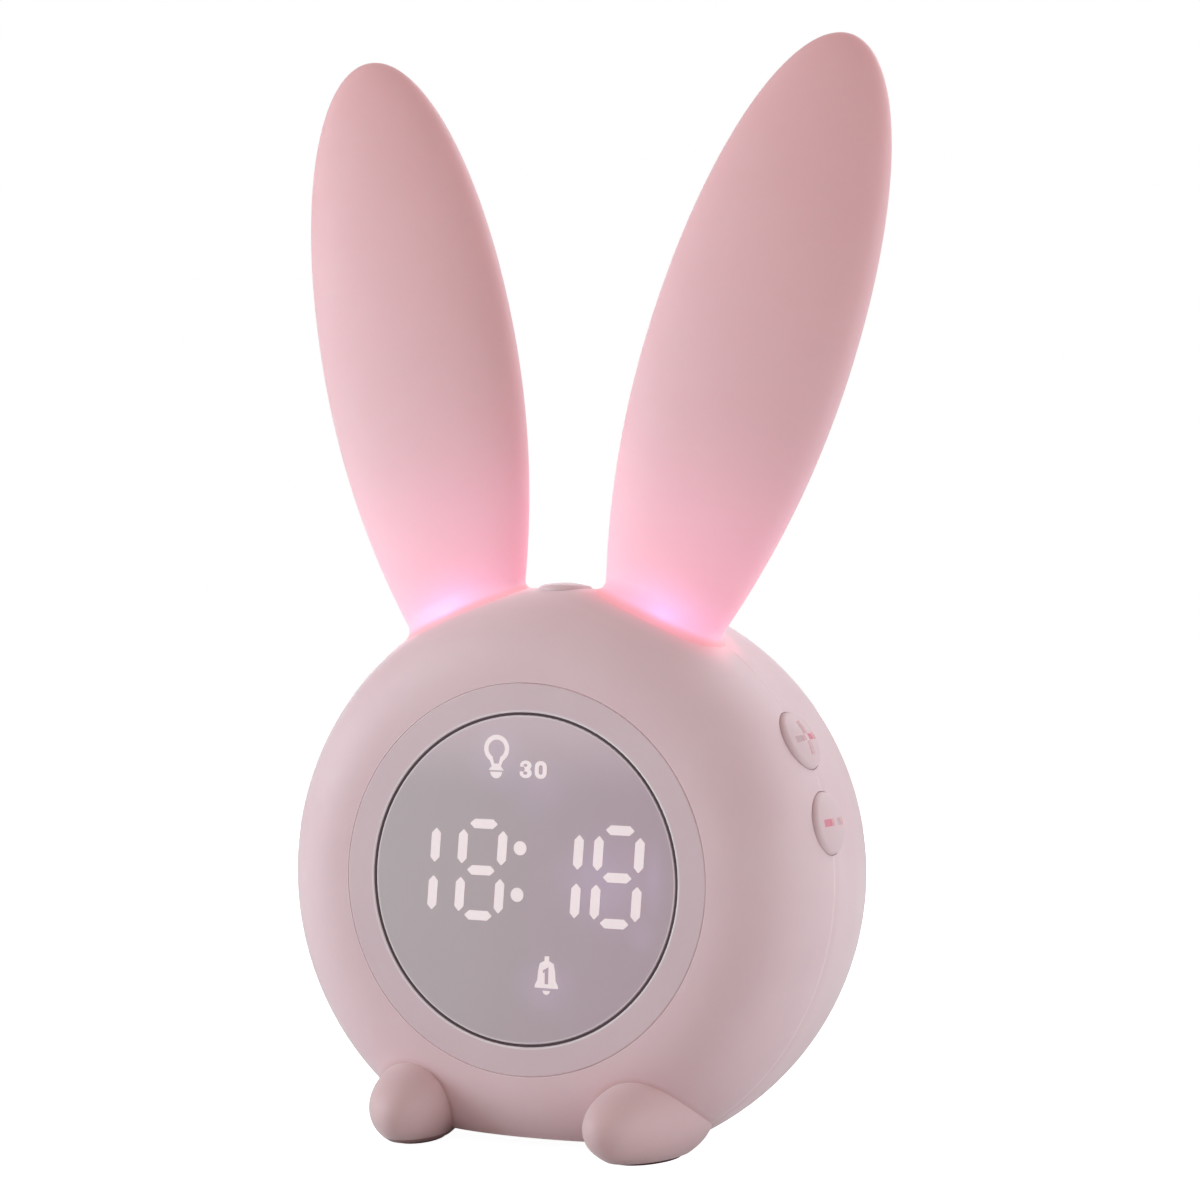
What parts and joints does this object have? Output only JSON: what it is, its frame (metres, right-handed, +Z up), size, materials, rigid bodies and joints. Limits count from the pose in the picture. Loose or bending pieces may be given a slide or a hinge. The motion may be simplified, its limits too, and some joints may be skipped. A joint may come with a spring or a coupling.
{
  "type": "alarm clock",
  "caption": "Bedside alarm clock and night light shaped like a sitting rabbit: round head with a lit digital face, glowing ears, side keys and a rear port pocket.",
  "frame": {"origin": "on the table under the middle of the clock's bounding box", "axes": "+Z up, the face looks along -Y, +X is on the right of someone facing the clock"},
  "size_m": [0.1158, 0.0804, 0.1997],
  "materials": {
    "shell_plastic": "soft-touch matte, fine grain",
    "ear_silicone": "translucent silicone, matte",
    "lens_acrylic": "smoke grey acrylic, polished",
    "dark_gasket": "black rubber",
    "lit_figures": "lit white light window",
    "white_plastic": "reflective white",
    "circuit_board": "green solder mask",
    "led_chip": "LED package",
    "ear_led": "lit LED package",
    "switch_black": "black nylon",
    "chip_black": "moulded epoxy",
    "socket_nylon": "natural nylon",
    "chassis_grey": "moulded ABS",
    "cell_wrap": "shrink wrap",
    "lead_jacket": "PVC insulation",
    "ribbon_cable": "flat cable",
    "speaker_steel": "pressed steel",
    "cone_paper": "paper cone",
    "foam_gasket": "foam ring",
    "port_steel": "tinned steel",
    "screw_steel": "zinc plated",
    "pad_rubber": "dark red-brown rubber",
    "slider_plastic": "matte"
  },
  "bodies": {
    "clock": {"front_shell": "shell_plastic", "rear_shell": "shell_plastic", "face_ring": "shell_plastic", "lens_gasket": "dark_gasket", "display_lens": "lens_acrylic", "time_figures": "lit_figures", "timer_icon": "lit_figures", "alarm_icon": "lit_figures", "light_box": "white_plastic", "display_board": "circuit_board", "display_leds": "led_chip", "ear_right": "ear_silicone", "ear_left": "ear_silicone", "ear_light_board_right": "circuit_board", "ear_light_board_left": "circuit_board", "ear_leds_right": "ear_led", "ear_leds_left": "ear_led", "ear_light_leads": "lead_jacket", "top_switch": "switch_black", "top_switch_board": "circuit_board", "side_switches": "switch_black", "side_switch_board": "circuit_board", "rear_switches": "switch_black", "chassis": "chassis_grey", "main_board": "circuit_board", "main_board_chips": "chip_black", "lead_sockets": "socket_nylon", "display_ribbon": "ribbon_cable", "battery_cell": "cell_wrap", "battery_strap": "chassis_grey", "battery_leads": "lead_jacket", "speaker": "speaker_steel", "speaker_cone": "cone_paper", "speaker_gasket": "foam_gasket", "speaker_clamp": "chassis_grey", "speaker_leads": "lead_jacket", "port_board": "circuit_board", "usb_port": "port_steel", "power_switch": "switch_black", "port_leads": "lead_jacket", "inner_screws": "screw_steel", "case_screws": "screw_steel", "front_foot_pads": "pad_rubber", "rear_pad": "pad_rubber"},
    "top_button": {"top_button": "shell_plastic", "top_plunger": "switch_black"},
    "plus_button": {"plus_button": "shell_plastic", "plus_plunger": "switch_black"},
    "minus_button": {"minus_button": "shell_plastic", "minus_plunger": "switch_black"},
    "clock_button": {"clock_button": "shell_plastic", "clock_plunger": "switch_black"},
    "alarm_button": {"alarm_button": "shell_plastic", "alarm_plunger": "switch_black"},
    "power_slider": {"power_slider": "slider_plastic"}
  },
  "joints": [
    {"name": "top_button_press", "type": "slide", "parent": "clock", "child": "top_button", "axis": [0, 0, -1], "range_m": [0, 0.0005], "stiffness_N_per_m": 400, "springref_m": -0.0005},
    {"name": "plus_button_press", "type": "slide", "parent": "clock", "child": "plus_button", "axis": [-0.9336, 0, -0.3584], "range_m": [0, 0.0005], "stiffness_N_per_m": 400, "springref_m": -0.0005},
    {"name": "minus_button_press", "type": "slide", "parent": "clock", "child": "minus_button", "axis": [-0.9336, 0, -0.3584], "range_m": [0, 0.0005], "stiffness_N_per_m": 400, "springref_m": -0.0005},
    {"name": "clock_button_press", "type": "slide", "parent": "clock", "child": "clock_button", "axis": [0, -1, 0], "range_m": [0, 0.0005], "stiffness_N_per_m": 400, "springref_m": -0.0005},
    {"name": "alarm_button_press", "type": "slide", "parent": "clock", "child": "alarm_button", "axis": [0, -1, 0], "range_m": [0, 0.0005], "stiffness_N_per_m": 400, "springref_m": -0.0005},
    {"name": "power_slide", "type": "slide", "parent": "clock", "child": "power_slider", "axis": [1, 0, 0], "range_m": [0, 0.002]}
  ]
}
